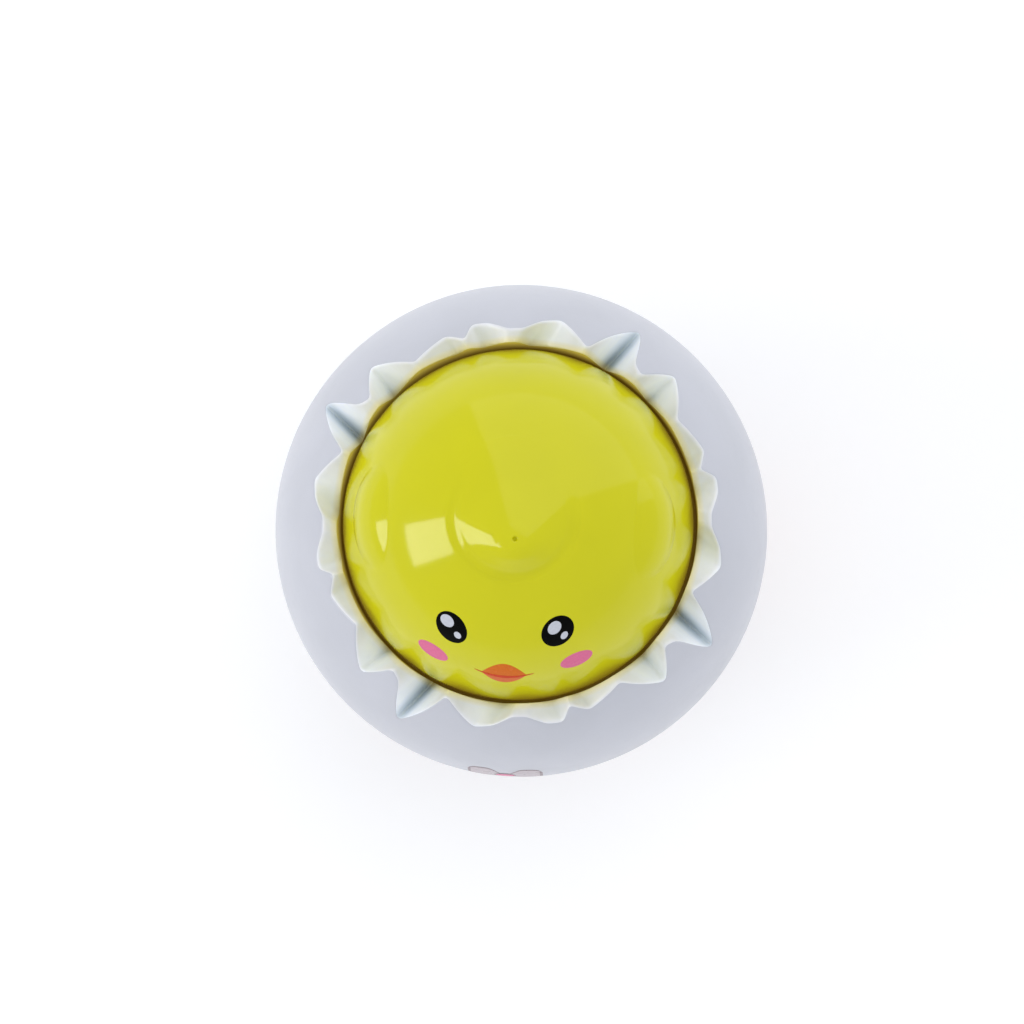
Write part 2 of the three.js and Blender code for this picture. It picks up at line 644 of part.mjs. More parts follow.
add("upper_shell", upperShell(), SHELL);
add("lower_shell", lowerShell(), SHELL);
add("chick_head", headShell(), YELLOW);
const headScrewZ = SHELF.top - SHELF.thick - SCREW.headHigh - GAP;
headScrewPlaces.forEach(([x, y], i) => {
  add(`head_screw_${i + 1}`, screw(x, y, headScrewZ, HEAD_SCREW.length), STEEL);
});
add("left_side_plate", sidePlate(-1), STEEL);
add("right_side_plate", sidePlate(1), STEEL);
Object.entries(PILLARS).forEach(([place, at]) => add(`${place}_pillar`, pillar(at), BRASS));
MOTOR_SCREWS.forEach(([x, y], i) => add(`motor_screw_${i + 1}`, screw(x, y, FLOOR_Z + GAP, 4.2), STEEL));
add("mainspring", mainspring(), SPRING_STEEL);
add("arbor_bush", arborBush(), NATURAL);

add("winding_arbor", windingArbor(), STEEL);
add("winding_knob", windingKnob(), ORANGE);
add("knob_screw", knobScrew(), STEEL);
add("ratchet_wheel", ratchetWheel(), BRASS);

add("great_wheel", greatWheel(), NATURAL);
add("click_pivot", barX(AXLE.click, ALONG.great[1] + GAP, 1.5, clickPivot, 12), STEEL);
add("click_spring", clickSpring(), SPRING_STEEL);
add("click", click(), BRASS);

add("idler_axle", barX(AXLE.idler, -AXLE_END, AXLE_END, IDLER, 12), STEEL);
add("idler_pinion", pinion(IDLER, ARBOR, ALONG.idlerPinion, AXLE.idler + FIT), NATURAL);
add("idler_wheel", idlerWheel(), NATURAL);

add("crank_axle", barX(AXLE.crank, -6.9, 6.9, CRANK, 12), STEEL);
add("crank_pinion", pinion(CRANK, IDLER, ALONG.crankPinion, AXLE.crank + FIT), NATURAL);
add("left_crank", crankDisc(-1), STEEL);
add("right_crank", crankDisc(1), STEEL);

add("rocker_axle", barX(AXLE.rocker, -11.1, 11.1, ROCKER, 12), STEEL);
add("left_leg", leg(-1), ORANGE);
add("right_leg", leg(1), ORANGE);
add("left_clip", clip(-1), SPRING_STEEL);
add("right_clip", clip(1), SPRING_STEEL);

export default toy;
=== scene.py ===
"""Looks of a wind-up hopping toy: a chick's head in a cracked eggshell, on two feet.

Lengths are millimetres until a mesh is made. +Z is up and the face looks towards -Y.
"""

import json
import math

import bmesh
import bpy
import numpy as np
from mathutils import Matrix, Vector


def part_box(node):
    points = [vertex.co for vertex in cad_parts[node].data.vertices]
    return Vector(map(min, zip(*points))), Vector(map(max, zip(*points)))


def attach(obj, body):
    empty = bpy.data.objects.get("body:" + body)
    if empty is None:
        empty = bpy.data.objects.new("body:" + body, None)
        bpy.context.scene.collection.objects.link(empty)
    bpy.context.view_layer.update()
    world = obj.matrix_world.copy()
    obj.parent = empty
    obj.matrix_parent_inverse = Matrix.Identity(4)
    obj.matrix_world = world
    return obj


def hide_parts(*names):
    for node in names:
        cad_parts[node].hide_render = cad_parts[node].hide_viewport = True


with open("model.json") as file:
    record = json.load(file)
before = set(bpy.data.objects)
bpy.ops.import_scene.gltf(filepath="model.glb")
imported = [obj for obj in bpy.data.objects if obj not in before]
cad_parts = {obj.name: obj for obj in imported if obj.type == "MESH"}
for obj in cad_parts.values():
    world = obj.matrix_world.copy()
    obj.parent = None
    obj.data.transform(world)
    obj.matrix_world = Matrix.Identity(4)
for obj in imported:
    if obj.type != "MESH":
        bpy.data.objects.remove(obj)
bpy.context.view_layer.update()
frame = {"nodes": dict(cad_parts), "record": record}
MM = 0.001


def box(node):
    """A CAD node's lowest and highest corner, in millimetres."""
    low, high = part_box(node)
    return np.array(low) / MM, np.array(high) / MM


def middle(node):
    low, high = box(node)
    return (low + high) / 2


# ---- Driving dimensions. The egg's, the shelf's and the head's are the same as the CAD part's. ----
EGG_R, EGG_Z, EGG_UP, EGG_DOWN = 35.0, 37.0, 38.0, 35.3
SEAM_Z = box("upper_shell")[0][2]
FLOOR_Z = box("lower_shell")[0][2]
WALL = 1.8
SEAM_BEVEL = 0.25
WELL_R = 24.9
SHELF_R, SHELF_TOP, SHELF_THICK = 21.5, 49.4, 1.8
HEAD_R, HEAD_WALL, HEAD_Z = 24.4, 1.6, box("chick_head")[0][2]
SKIRT = 4.6  # the straight part under the ball
BALL_Z = HEAD_Z + SKIRT
TUFT_R, TUFT_TOP_R, TUFT_BASE, TUFT_HIGH, TUFT_LEAN = 7.9, 2.2, 27.5, 3.3, (0.45, -3.2)
TUFT_FILLET, TUFT_FRONT_FILLET = 0.28, 0.62  # all round, and how much more there is in front
GROOVE = {"r": 8.1, "half": 0.9, "deep": 0.22}  # a shallow channel round the front of the tuft's foot
DIMPLE_R, DIMPLE_DEEP = 0.3, 0.5  # at the tuft's tip
# Each wing: its side, how many degrees down from the top it lies, and how far back. The CAD part's two
# wings are alike, and the tuft's fillet, groove and dimple are only here.
WINGS = [(-1, 56.0, -1.0), (1, 52.5, 0.4)]
WING_SIZE, WING_HIGH = (4.6, 7.1), 0.85

# The cracked edge over a quarter turn, repeated four times. Each row is a corner: its angle and height
# on the egg's outside, then its angle and height on the wall of the well.
CRACK_START = 70
CRACK = [
    (-2, 62.7, -2, 61.9),
    (8, 52.5, 4.5, 50.2),
    (12, 60.8, 10.5, 59.4),
    (16, 61.9, 16, 61.2),
    (22.5, 56.8, 21.7, 52.6),
    (33, 62.3, 33, 61.7),
    (44.5, 60.4, 46.5, 58.4),
    (50, 62.3, 50, 61.7),
    (52.5, 59.6, 54, 57.2),
    (57, 59.8, 58.5, 59),
    (63, 61.5, 62, 60.8),
    (67.5, 61.5, 66, 60.8),
    (73, 59.6, 69.5, 55.5),
    (78, 58.7, 76.5, 57.4),
    (86, 62.1, 85.5, 61.3),
]

# ---- Camera: almost straight down, the toy's face at the bottom of the picture ----
CAMERA_TILT, CAMERA_SIDE = 3.4, -58.9  # how far it leans off the vertical, and towards which side
PICTURE_UP = 94.3  # the direction on the floor that points up in the picture
DISTANCE = 700.0
FOCAL_LENGTH = 172.6
AIM = (-1.34, 2.68)  # right and up from the egg's middle, in the picture


def level(angle):
    a = math.radians(angle)
    return Vector((math.cos(a), math.sin(a), 0))


def make_camera():
    tilt = math.radians(CAMERA_TILT)
    back = level(CAMERA_SIDE) * math.sin(tilt) + Vector((0, 0, math.cos(tilt)))
    up = level(PICTURE_UP)
    up = (up - back * up.dot(back)).normalized()
    right = up.cross(back)
    target = Vector((0, 0, EGG_Z)) + right * AIM[0] + up * AIM[1]
    camera = bpy.data.objects.new("camera", bpy.data.cameras.new("camera"))
    bpy.context.scene.collection.objects.link(camera)
    camera.data.sensor_width = 36
    camera.data.lens = FOCAL_LENGTH
    camera.data.clip_start = 0.01
    camera.location = (target + back * DISTANCE) * MM
    camera.rotation_mode = "QUATERNION"
    axes = np.array([right, up, back]).T
    camera.rotation_quaternion = Matrix(axes.tolist()).to_quaternion()
    bpy.context.scene.camera = camera


# ---- Materials ----
class Nodes:
    """A material's node tree with one Principled shader, and short calls for what this file needs."""

    def __init__(self, name):
        self.material = bpy.data.materials.new(name)
        self.material.use_nodes = True
        self.tree = self.material.node_tree
        self.shader = self.tree.nodes["Principled BSDF"]
        self.place = self.tree.nodes.new("ShaderNodeTexCoord").outputs["Object"]

    def set(self, **values):
        for name, value in values.items():
            self.shader.inputs[name.replace("_", " ")].default_value = value

    def link(self, output, socket):
        self.tree.links.new(output, self.shader.inputs[socket])

    def node(self, kind, inputs, **settings):
        made = self.tree.nodes.new(kind)
        for key, value in settings.items():
            setattr(made, key, value)
        for key, value in inputs.items():
            if isinstance(value, bpy.types.NodeSocket):
                self.tree.links.new(value, made.inputs[key])
            else:
                made.inputs[key].default_value = value
        return made

    def noise(self, size, detail=3.0, distortion=0.0):
        """Noise between 0 and 1 whose patches are about size millimetres wide."""
        scale = 1 / (size * MM)
        inputs = {"Vector": self.place, "Scale": scale, "Detail": detail, "Distortion": distortion}
        return self.node("ShaderNodeTexNoise", inputs).outputs["Fac"]

    def span(self, value, low, high, new_low, new_high):
        inputs = {"Value": value, "From Min": low, "From Max": high, "To Min": new_low, "To Max": new_high}
        return self.node("ShaderNodeMapRange", inputs).outputs["Result"]

    def math(self, operation, a, b=0.0):
        return self.node("ShaderNodeMath", {0: a, 1: b}, operation=operation).outputs[0]

    def mix(self, factor, a, b):
        made = self.node("ShaderNodeMix", {"Factor": factor}, data_type="RGBA")
        for socket, value in ((made.inputs[6], a), (made.inputs[7], b)):
            if isinstance(value, bpy.types.NodeSocket):
                self.tree.links.new(value, socket)
            else:
                socket.default_value = (*value, 1)
        return made.outputs[2]

    def bump(self, height, depth, strength=1.0):
        inputs = {"Height": height, "Distance": depth * MM, "Strength": strength}
        self.link(self.node("ShaderNodeBump", inputs).outputs["Normal"], "Normal")


def moulded(name, colour, shade, roughness, grain=0.03, shine=0.5, milky=0.0, patch=9.0, spread=0.05):
    """Moulded plastic: two close colours in soft patches, dust, uneven roughness, grain and scuffs.

    Milky is the share of the light that goes in under the surface.
    """
    m = Nodes(name)
    patches = m.noise(patch, 4, 0.4)
    fine = m.noise(0.5, 2)
    colours = m.mix(m.span(patches, 0.35, 0.65, 0, 1), colour, shade)
    dust = m.span(m.noise(0.22, 1), 0.72, 0.78, 0, 0.25)
    m.link(m.mix(dust, colours, tuple(c * 0.75 for c in shade)), "Base Color")
    scuffs = m.span(m.noise(2.2, 8, 1.5), 0.56, 0.7, 0, spread)
    base = m.span(patches, 0.3, 0.7, roughness - spread / 2, roughness + spread / 2)
    m.link(m.math("ADD", base, scuffs), "Roughness")
    m.bump(m.math("ADD", fine, m.math("MULTIPLY", m.noise(1.8, 2), 2.0)), grain, 0.35)
    m.set(Specular_IOR_Level=shine, Subsurface_Weight=milky, Subsurface_Scale=0.8 * MM)
    m.set(Subsurface_Radius=(1.0, 0.9, 0.7), IOR=1.49)
    return m


def height_and_radius(m):
    """Height above the floor and distance from the egg's axis, in millimetres, of each point of a piece."""
    along = m.node("ShaderNodeSeparateXYZ", {"Vector": m.place}).outputs
    flat = m.node("ShaderNodeCombineXYZ", {"X": along[0], "Y": along[1]}).outputs[0]
    radius = m.node("ShaderNodeVectorMath", {0: flat}, operation="LENGTH").outputs["Value"]
    return m.math("MULTIPLY", along[2], 1 / MM), m.math("MULTIPLY", radius, 1 / MM)


def painted_glow_by_height(m, high, low, colour_high, colour_low):
    """Painted light: a faint emission glow, with no lamp behind it, that changes between two heights."""
    height, _ = height_and_radius(m)
    m.link(m.mix(m.span(height, high, low, 0, 1), colour_high, colour_low), "Emission Color")
    m.set(Emission_Strength=1.0)


def cracked_face():
    """The broken edge: whiter than the skin, with painted bluish shade in its deep notches, painted warm
    light beside the head, and a painted glow.
    """
    m = moulded("egg_cracked_face", (0.79, 0.80, 0.85), (0.74, 0.755, 0.80), 0.42, 0.05,
                milky=0.3, patch=3)
    height, radius = height_and_radius(m)
    white = m.shader.inputs["Base Color"].links[0].from_socket
    # Painted shade: the deep notches turn slate blue below a set height.
    painted_notch_shade = m.mix(m.span(height, 55.5, 52.5, 0, 0.85), white, (0.44, 0.53, 0.60))
    # Painted bounce light: beside the yellow head the face turns warm, in its colour and in its glow.
    painted_warm_bounce = m.span(radius, WELL_R + 0.1, WELL_R + 1.0, 0.65, 0)
    m.link(m.mix(painted_warm_bounce, painted_notch_shade, (0.80, 0.70, 0.30)), "Base Color")
    # Painted light: the whole face glows faintly and the middle notches glow more to lighten their shade.
    # The deep notches stay dark.
    painted_lit_notches = m.math("MULTIPLY", m.span(height, 61, 57.5, 0, 1), m.span(height, 54.6, 51.8, 1, 0))
    painted_face_glow = m.mix(painted_lit_notches, (0.02, 0.021, 0.027), (0.15, 0.17, 0.19))
    m.link(m.mix(painted_warm_bounce, painted_face_glow, (0.06, 0.045, 0.01)), "Emission Color")
    m.set(Emission_Strength=1.0)
    return m


def ink(name, colour, shade, roughness=0.22, shine=0.08):
    """Pad-printed ink: nearly even, with the faint mottle of a printed film."""
    m = Nodes(name)
    m.link(m.mix(m.span(m.noise(0.35, 3), 0.35, 0.65, 0, 1), colour, shade), "Base Color")
    m.link(m.span(m.noise(1.2, 2), 0.3, 0.7, roughness - 0.04, roughness + 0.08), "Roughness")
    m.bump(m.noise(0.3, 2), 0.01, 0.3)
    m.set(Specular_IOR_Level=shine)
    return m


def metal(name, colour, shade, roughness, grain):
    """Plated or turned metal with fine lines along X, darker in patches and duller where handled."""
    m = Nodes(name)
    m.set(Metallic=1.0)
    stretched = m.node("ShaderNodeMapping", {"Vector": m.place, "Scale": (40, 900, 900)}).outputs["Vector"]
    lines = m.node("ShaderNodeTexNoise", {"Vector": stretched, "Scale": 9.0, "Detail": 4.0}).outputs["Fac"]
    patches = m.noise(3, 4, 0.5)
    m.link(m.mix(m.span(patches, 0.35, 0.7, 0, 1), colour, shade), "Base Color")
    m.link(m.math("ADD", m.span(lines, 0.3, 0.7, roughness - 0.06, roughness + 0.08),
                  m.span(patches, 0.5, 0.75, 0, 0.1)), "Roughness")
    m.bump(lines, grain, 0.4)
    return m


SKIN = moulded("egg_skin", (0.56, 0.575, 0.645), (0.535, 0.55, 0.615), 0.34, 0.02, milky=0.08, patch=14)
CRACKED = cracked_face()
# Painted reflection: the white shell's well wall is coloured olive yellow, as the yellow head reflected in
# it.
WELL = moulded("egg_well_wall_painted_reflection", (0.42, 0.37, 0.07), (0.38, 0.33, 0.06), 0.45, 0.05, patch=4)
# Painted light: the well's wall glows brighter at its top and dims down into the gap, as painted bounce
# light and painted shade.
painted_glow_by_height(WELL, 60, 50, (0.26, 0.20, 0.04), (0.03, 0.015, 0.001))
YELLOW = moulded("head_yellow", (0.64, 0.62, 0.004), (0.62, 0.6, 0.004), 0.09, 0.003,
                 shine=0.3, patch=12, spread=0.03)
# Painted light: a faint warm glow low on the head lightens the shade beside the gap.
painted_glow_by_height(YELLOW, 60, 53, (0, 0, 0), (0.02, 0.012, 0))
ORANGE = moulded("orange_plastic", (0.80, 0.26, 0.022), (0.74, 0.22, 0.018), 0.3, 0.02, milky=0.08, patch=6)
NYLON = moulded("nylon", (0.74, 0.72, 0.64), (0.68, 0.66, 0.58), 0.45, 0.02, milky=0.2, patch=3)
BLACK_INK = ink("black_ink", (0.001, 0.001, 0.001), (0.002, 0.002, 0.002), 0.12, 0.04)
WHITE_INK = ink("white_ink", (0.60, 0.62, 0.70), (0.55, 0.57, 0.65), 0.2)
PINK_INK = ink("pink_ink", (0.74, 0.17, 0.33), (0.70, 0.15, 0.30))
ORANGE_INK = ink("orange_ink", (0.68, 0.155, 0.01), (0.64, 0.14, 0.01))
RED_INK = ink("red_ink", (0.62, 0.055, 0.012), (0.58, 0.05, 0.012))
PEACH_INK = ink("peach_ink", (0.70, 0.165, 0.05), (0.66, 0.15, 0.045))
BLUSH_INK = ink("blush_ink", (0.56, 0.50, 0.54), (0.53, 0.47, 0.51), 0.3)
TAUPE_INK = ink("taupe_ink", (0.27, 0.21, 0.24), (0.30, 0.24, 0.27), 0.3)
STEEL = metal("plated_steel", (0.58, 0.59, 0.60), (0.45, 0.46, 0.47), 0.28, 0.01)
BRASS = metal("turned_brass", (0.72, 0.52, 0.20), (0.55, 0.37, 0.13), 0.3, 0.01)
SPRING_STEEL = metal("spring_steel", (0.18, 0.20, 0.25), (0.12, 0.13, 0.17), 0.25, 0.006)
SLOT_MATERIALS = {
    "white_shell": SKIN,
    "yellow_head": YELLOW,
    "orange_plastic": ORANGE,
    "nylon": NYLON,
    "steel": STEEL,
    "brass": BRASS,
    "spring_steel": SPRING_STEEL,
}


# ---- Making pieces ----
def add_piece(name, verts, faces, materials, body, slot, face_material=None, replaces=(), sharp=40):
    """A closed mesh in millimetres becomes a piece that rides on a body."""
    mesh = bpy.data.meshes.new(name)
    mesh.from_pydata([tuple(v) for v in np.asarray(verts, float) * MM], [], [tuple(f) for f in faces])
    for look in materials:
        mesh.materials.append(look.material)
    if face_material is not None:
        mesh.polygons.foreach_set("material_index", face_material)
    obj = bpy.data.objects.new(name, mesh)
    bpy.context.scene.collection.objects.link(obj)
    tidy(obj, sharp)
    register(obj, body, replaces)
    return obj


def tidy(obj, sharp):
    """Faces point out and shade smoothly, apart from edges sharper than the angle."""
    cleaned = bmesh.new()
    cleaned.from_mesh(obj.data)
    bmesh.ops.remove_doubles(cleaned, verts=cleaned.verts, dist=1e-8)
    bmesh.ops.recalc_face_normals(cleaned, faces=cleaned.faces)
    cleaned.to_mesh(obj.data)
    cleaned.free()
    obj.data.shade_smooth()
    obj.data.set_sharp_from_angle(angle=math.radians(sharp))


def register(obj, body, replaces=()):
    if body:
        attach(obj, body)
    if replaces:
        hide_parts(*replaces)


def loft(sections, wrap_rows=False, wrap_columns=True):
    """Vertices and faces of a grid of points, given as rows of the same length."""
    rows, columns = sections.shape[:2]
    faces = []
    for i in range(rows if wrap_rows else rows - 1):
        for j in range(columns if wrap_columns else columns - 1):
            a, b = i * columns, ((i + 1) % rows) * columns
            k = (j + 1) % columns
            faces.append((a + j, b + j, b + k, a + k))
    return sections.reshape(-1, 3), faces


def turned(profile, segments, axis="z", centre=(0, 0, 0)):
    """Vertices and faces of a closed profile of (radius, height) points turned about an axis.

    Points on the axis share a place and are merged later.
    """
    angles = np.linspace(0, 2 * math.pi, segments, endpoint=False)
    r, h = np.array(profile, float).T
    ring = np.stack([np.outer(np.cos(angles), r), np.outer(np.sin(angles), r),
                     np.broadcast_to(h, (segments, len(h)))], axis=2)
    if axis == "x":
        ring = ring[:, :, [2, 0, 1]]
    closed = r[0] != 0
    return loft(ring + np.array(centre), wrap_rows=True, wrap_columns=closed)


def bend_corners(profile, radius, steps=4):
    """Every corner of a closed profile is replaced by a small arc-like curve."""
    points = np.array(profile, float)
    out = []
    for before, corner, after in zip(np.roll(points, 1, 0), points, np.roll(points, -1, 0)):
        if corner[0] == 0:
            out.append(corner)
            continue
        to_before, to_after = before - corner, after - corner
        reach = min(radius, np.linalg.norm(to_before) * 0.45, np.linalg.norm(to_after) * 0.45)
        start = corner + to_before / np.linalg.norm(to_before) * reach
        end = corner + to_after / np.linalg.norm(to_after) * reach
        for t in np.linspace(0, 1, steps):
            out.append((1 - t) ** 2 * start + 2 * t * (1 - t) * corner + t * t * end)
    return out


def tool(verts, faces):
    """A closed mesh that only cuts, trims or joins another, and is removed afterwards."""
    return add_piece("tool", verts, faces, [], None, None)


def combine(obj, tools, operation="DIFFERENCE"):
    for other in tools:
        change = obj.modifiers.new("combine", "BOOLEAN")
        change.operation = operation
        change.solver = "EXACT"
        change.object = other
    bake(obj)
    for other in tools:
        bpy.data.objects.remove(other)


def bake(obj):
    """Applies every modifier."""
    graph = bpy.context.evaluated_depsgraph_get()
    made = bpy.data.meshes.new_from_object(obj.evaluated_get(graph), depsgraph=graph)
    obj.modifiers.clear()
    obj.data = made


# ---- The egg ----
def egg_r(z):
    t = (z - EGG_Z) / np.where(z > EGG_Z, EGG_UP, EGG_DOWN)
    return EGG_R * np.sqrt(1 - t * t)


def polar(r, degrees, z):
    a = np.radians(degrees)
    return np.stack(np.broadcast_arrays(r * np.cos(a), r * np.sin(a), z), axis=-1)


def crack_rows(steps_per_degree=1.6, blur=1.2):
    """The crack's corners joined by straight runs, then blurred a little as a mould would."""
    corners = np.array([
        (CRACK_START - 90 * quarter - row[0], row[1], CRACK_START - 90 * quarter - row[2], row[3])
        for quarter in range(4)
        for row in CRACK
    ])
    following = np.roll(corners, -1, 0)
    following[-1, [0, 2]] -= 360
    rows = []
    for here, there in zip(corners, following):
        steps = max(3, round((here[0] - there[0]) * steps_per_degree))
        rows += [here + (there - here) * s / steps for s in range(steps)]
    rows = np.array(rows)
    start = rows[0].copy()
    drift = rows - start
    reach = 6  # how many rows on each side the blur looks at
    full_turn = np.array([360, 0, 360, 0])
    wrapped = np.concatenate([drift[-reach:] + full_turn, drift, drift[:reach] - full_turn])
    weights = np.exp(-0.5 * (np.arange(-reach, reach + 1) / blur) ** 2)
    weights /= weights.sum()
    soft = np.stack([np.convolve(wrapped[:, k], weights, "valid") for k in range(4)], axis=1)
    return soft + start


def make_upper_shell():
    """One section for each row of the crack: up the skin, over the broken edge, down the well's wall,
    in along the shelf, then down the inside to the seam's lip."""
    outer, outer_z, inner, inner_z = crack_rows().T
    seam_r = egg_r(np.array(SEAM_Z))
    under = SHELF_TOP - SHELF_THICK
    lip_top, lip_r = SEAM_Z + 2.2, seam_r - 0.85
    skin_steps, cut_steps, round_steps = 44, 10, 6
    section = [polar(seam_r - SEAM_BEVEL, outer, SEAM_Z)]
    top, bottom = polar(egg_r(outer_z), outer, outer_z), polar(WELL_R, inner, inner_z)
    cut = np.linalg.norm(bottom - top, axis=1)
    edge = np.minimum(0.6, 0.3 * cut)  # how far the rounding reaches each way from the corner
    for t in np.linspace(0, 1, skin_steps):
        z = SEAM_Z + SEAM_BEVEL + (outer_z - edge * 0.8 - SEAM_Z - SEAM_BEVEL) * t
        section.append(polar(egg_r(z), outer, z))
    skin_end, cut_start = section[-1], top + (bottom - top) * (edge / cut)[:, None]
    for t in np.linspace(0, 1, round_steps)[1:-1]:
        section.append((1 - t) ** 2 * skin_end + 2 * t * (1 - t) * top + t * t * cut_start)
    skin_rows = len(section) - round_steps // 2
    for t in np.linspace(0, 0.965, cut_steps):
        section.append(cut_start + (bottom - cut_start) * t)
    cut_rows = len(section)
    drop = inner_z - SHELF_TOP
    for t in (0.03, 0.3, 0.6, 0.95):
        section.append(polar(WELL_R, inner, inner_z - 0.05 - (drop - 0.05) * t))
    section.append(polar(WELL_R - 0.2, inner, SHELF_TOP))
    section.append(polar(SHELF_R, inner, SHELF_TOP))
    well_rows = len(section)
    section.append(polar(SHELF_R, inner, under))
    for z in (under, 45, 42, 39, EGG_Z, 34, lip_top):
        section.append(polar(egg_r(np.array(z)) - WALL, outer, z))
    section.append(polar(lip_r, outer, lip_top))
    section.append(polar(lip_r, outer, SEAM_Z))
    grid = np.stack(section, axis=1)
    verts, faces = loft(grid, wrap_rows=True)
    column = np.tile(np.arange(grid.shape[1]), grid.shape[0])
    is_cut = ((column >= skin_rows) & (column < cut_rows)).astype(int)
    is_well = ((column >= cut_rows) & (column < well_rows - 1)).astype(int)
    add_piece("egg_upper", verts, faces, [SKIN, CRACKED, WELL], "body", "white_shell",
              face_material=is_cut + 2 * is_well, replaces=["upper_shell"], sharp=50)


def make_lower_shell():
    """A turned bowl with a pocket for the knob, slots for the legs and holes for the motor's screws."""
    seam_r = float(egg_r(np.array(SEAM_Z)))
    floor_top = FLOOR_Z + WALL
    outside = [(float(egg_r(np.array(z))), z) for z in np.linspace(FLOOR_Z + 0.5, SEAM_Z - SEAM_BEVEL, 40)]
    foot_r = float(egg_r(np.array(FLOOR_Z)))
    inside = [(float(egg_r(np.array(z))) - WALL, z) for z in np.linspace(SEAM_Z, floor_top + 2, 16)]
    profile = [(0, FLOOR_Z), (foot_r - 0.7, FLOOR_Z), (foot_r - 0.15, FLOOR_Z + 0.12)] + outside + [
        (seam_r - SEAM_BEVEL, SEAM_Z),
        (seam_r - 1, SEAM_Z),
        (seam_r - 1, SEAM_Z + 2),
        (seam_r - WALL, SEAM_Z + 2),
    ] + inside + [(inside[-1][0] - 1.5, floor_top), (0, floor_top)]
    shell = add_piece("egg_lower", *turned(profile, 256), [SKIN], "body", "white_shell",
                      replaces=["lower_shell"], sharp=35)
    knob_line = (0, *middle("winding_knob")[1:])
    knob_x = box("winding_knob")[0][0]
    pocket_r, pocket_x = 6.8, knob_x - 0.7
    cup_r, cup_x = pocket_r + 1.2, pocket_x - 1.4
    cup_profile = [(0, cup_x), (cup_r, cup_x), (cup_r, EGG_R), (0, EGG_R)]
    cup = tool(*turned(cup_profile, 96, "x", knob_line))
    whole = [(0, FLOOR_Z)] + outside + [(0, SEAM_Z)]
    combine(cup, [tool(*turned(whole, 256))], "INTERSECT")
    combine(shell, [cup], "UNION")
    rounded = [(0, pocket_x), (pocket_r, pocket_x), (pocket_r, EGG_R + 5), (0, EGG_R + 5)]
    cutters = [tool(*turned(bend_corners(rounded, 0.8, 6), 96, "x", knob_line))]
    bush_r, bush_x = 2.75, 20
    bush = [(0, bush_x), (bush_r, bush_x), (bush_r, EGG_R), (0, EGG_R)]
    cutters.append(tool(*turned(bush, 64, "x", knob_line)))
    slot_x, slot_y = 8.95, middle("rocker_axle")[1]
    for side in (-1, 1):
        cutters.append(tool(*slot_tool(side * slot_x, slot_y, 3.5, 8.2, floor_top + 1)))
    for i in range(1, 5):
        x, y = middle(f"motor_screw_{i}")[:2]
        mouth_r, sink_r, hole_r, seat = 2.15, 1.95, 1.05, FLOOR_Z + 0.9
        stepped = [(0, 0), (mouth_r, 0), (mouth_r, FLOOR_Z), (sink_r, FLOOR_Z + 0.2), (sink_r, seat),
                   (hole_r, seat), (hole_r, floor_top + 1), (0, floor_top + 1)]
        cutters.append(tool(*turned(stepped, 48, "z", (x, y, 0))))
    combine(shell, cutters)
    tidy(shell, 35)


def slot_tool(x, y, wide, long, top):
    """A round-ended slot through the floor."""
    r = 0.9
    points = []
    for cx, cy, start in ((1, 1, 0), (-1, 1, 90), (-1, -1, 180), (1, -1, 270)):
        for a in np.radians(np.linspace(start, start + 90, 7)):
            along_x, along_y = cx * (wide / 2 - r), cy * (long / 2 - r)
            points.append((x + along_x + r * math.cos(a), y + along_y + r * math.sin(a)))
    n = len(points)
    verts = [(px, py, z) for z in (0, top) for px, py in points]
    faces = [(i, (i + 1) % n, n + (i + 1) % n, n + i) for i in range(n)]
    return verts, faces + [tuple(range(n))[::-1], tuple(range(n, 2 * n))]


# ---- The chick's head ----
def blend_max(a, b, width):
    near = np.maximum(width - np.abs(a - b), 0) / width
    return np.maximum(a, b) + near * near * width / 4


def tuft_height(x, y):
    """Height above the head's foot, at each point of the floor plan, of a leaning cone with a flat top."""
    lean_x, lean_y = TUFT_LEAN
    narrowing = TUFT_R - TUFT_TOP_R
    # The cone's circle shrinks and leans on its way up. A quadratic tells how far up, from 0 to 1, its edge
    # stands over each point.
    a = lean_x ** 2 + lean_y ** 2 - narrowing ** 2
    b = 2 * (TUFT_R * narrowing - x * lean_x - y * lean_y)
    c = x * x + y * y - TUFT_R ** 2
    up_the_cone = (np.sqrt(np.maximum(b * b - 4 * a * c, 0)) - b) / (2 * a)
    level_top = 1 + 0.05 * np.clip(1 - ((x - lean_x) ** 2 + (y - lean_y) ** 2) / 6, 0, 1)
    return TUFT_BASE - TUFT_HIGH * blend_max(-up_the_cone, -level_top, 0.35)


def wing_height(side, turn, back, direction):
    """How far a wing stands out of the ball in each direction from the ball's centre."""
    down = np.arccos(np.clip(direction[..., 2], -1, 1))
    u = HEAD_R * (down - math.radians(turn)) / WING_SIZE[0]
    v = (HEAD_R * direction[..., 1] - back) / WING_SIZE[1]
    on_side = direction[..., 0] * side > 0.3
    inside = np.clip(1 - u * u - v * v, 0, 1)
    return np.where(on_side, WING_HIGH * inside, 0)


